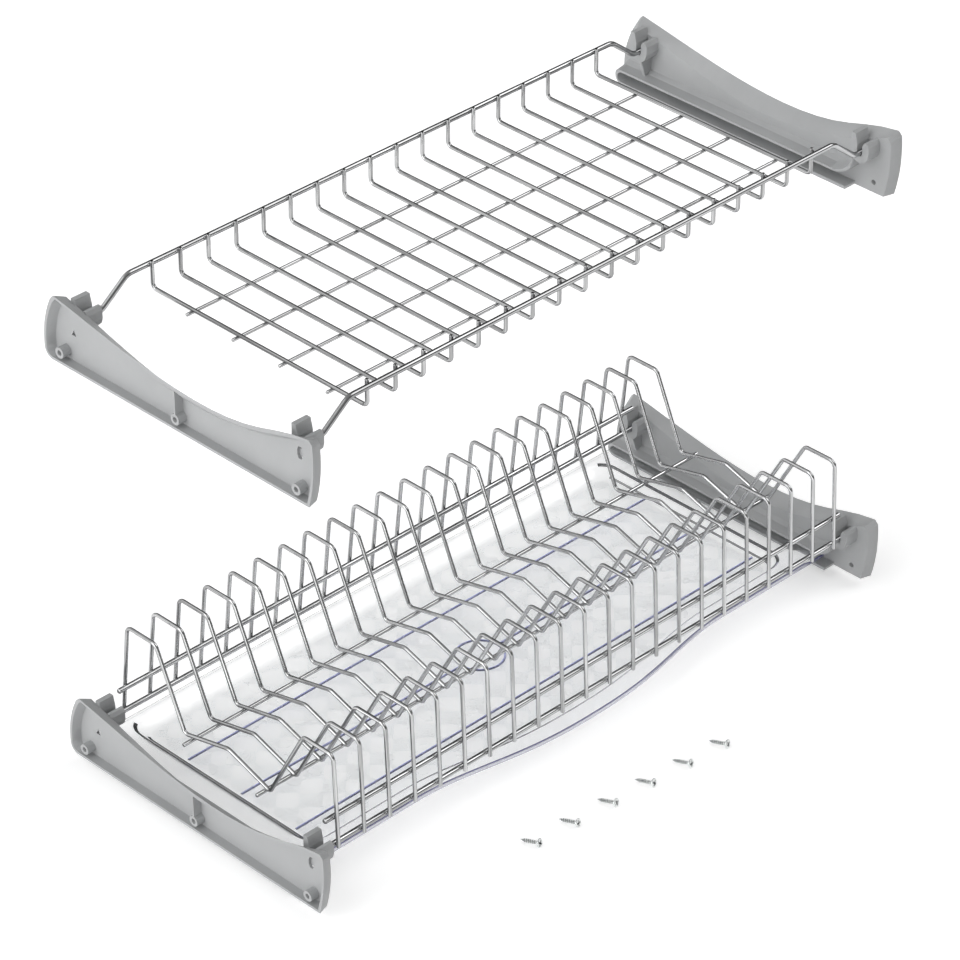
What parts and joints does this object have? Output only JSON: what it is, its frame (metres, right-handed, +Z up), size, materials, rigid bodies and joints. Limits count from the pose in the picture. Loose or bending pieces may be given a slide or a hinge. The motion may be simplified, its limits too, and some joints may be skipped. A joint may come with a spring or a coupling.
{
  "type": "cabinet dish rack",
  "caption": "Two-level wire dish rack for a wall cabinet: cranked glass shelf above, looped plate rack below, moulded side brackets and a clear drip tray that slides forward.",
  "frame": {"origin": "midway between the two cabinet walls, at the middle screw holes front to back, on the plane of the lower brackets' bottom faces", "axes": "+X from the left wall to the right wall, +Z up, -Y towards the front of the cabinet"},
  "size_m": [0.564, 0.321, 0.3924],
  "materials": {
    "bracket_plastic": "satin grey",
    "chromed_wire": "bright chrome plate",
    "clear_tray": "clear, glossy",
    "zinc_screw": "bright zinc"
  },
  "bodies": {
    "brackets": {"lower_left_bracket": "bracket_plastic", "lower_right_bracket": "bracket_plastic", "upper_left_bracket": "bracket_plastic", "upper_right_bracket": "bracket_plastic", "screws": "zinc_screw"},
    "drip_tray": {"drip_tray": "clear_tray"},
    "plate_rack": {"plate_wire_01": "chromed_wire", "plate_wire_02": "chromed_wire", "plate_wire_03": "chromed_wire", "plate_wire_04": "chromed_wire", "plate_wire_05": "chromed_wire", "plate_wire_06": "chromed_wire", "plate_wire_07": "chromed_wire", "plate_wire_08": "chromed_wire", "plate_wire_09": "chromed_wire", "plate_wire_10": "chromed_wire", "plate_wire_11": "chromed_wire", "plate_wire_12": "chromed_wire", "plate_wire_13": "chromed_wire", "plate_wire_14": "chromed_wire", "plate_wire_15": "chromed_wire", "plate_wire_16": "chromed_wire", "plate_wire_17": "chromed_wire", "plate_wire_18": "chromed_wire", "plate_wire_19": "chromed_wire", "plate_wire_20": "chromed_wire", "plate_wire_21": "chromed_wire", "plate_wire_22": "chromed_wire", "plate_back_lower_rail": "chromed_wire", "plate_front_lower_rail": "chromed_wire", "plate_back_upper_rod": "chromed_wire", "plate_front_upper_rod": "chromed_wire", "plate_bottom_rod_back": "chromed_wire", "plate_bottom_rod_front": "chromed_wire"},
    "glass_shelf": {"glass_back_rail": "chromed_wire", "glass_front_rail": "chromed_wire", "glass_cross_wire_01": "chromed_wire", "glass_cross_wire_02": "chromed_wire", "glass_cross_wire_03": "chromed_wire", "glass_cross_wire_04": "chromed_wire", "glass_cross_wire_05": "chromed_wire", "glass_cross_wire_06": "chromed_wire", "glass_cross_wire_07": "chromed_wire", "glass_cross_wire_08": "chromed_wire", "glass_cross_wire_09": "chromed_wire", "glass_cross_wire_10": "chromed_wire", "glass_cross_wire_11": "chromed_wire", "glass_cross_wire_12": "chromed_wire", "glass_cross_wire_13": "chromed_wire", "glass_cross_wire_14": "chromed_wire", "glass_cross_wire_15": "chromed_wire", "glass_cross_wire_16": "chromed_wire", "glass_cross_wire_17": "chromed_wire", "glass_cross_wire_18": "chromed_wire", "glass_long_wire_1": "chromed_wire", "glass_long_wire_2": "chromed_wire", "glass_long_wire_3": "chromed_wire", "glass_long_wire_4": "chromed_wire"}
  },
  "joints": [
    {"name": "tray_slide", "type": "slide", "parent": "brackets", "child": "drip_tray", "axis": [0, -1, 0], "range_m": [0, 0.22]},
    {"name": "plate_rack_lift", "type": "slide", "parent": "brackets", "child": "plate_rack", "axis": [0, 0, 1], "range_m": [0, 0.2]},
    {"name": "glass_shelf_lift", "type": "slide", "parent": "brackets", "child": "glass_shelf", "axis": [0, 0, 1], "range_m": [0, 0.2]}
  ]
}
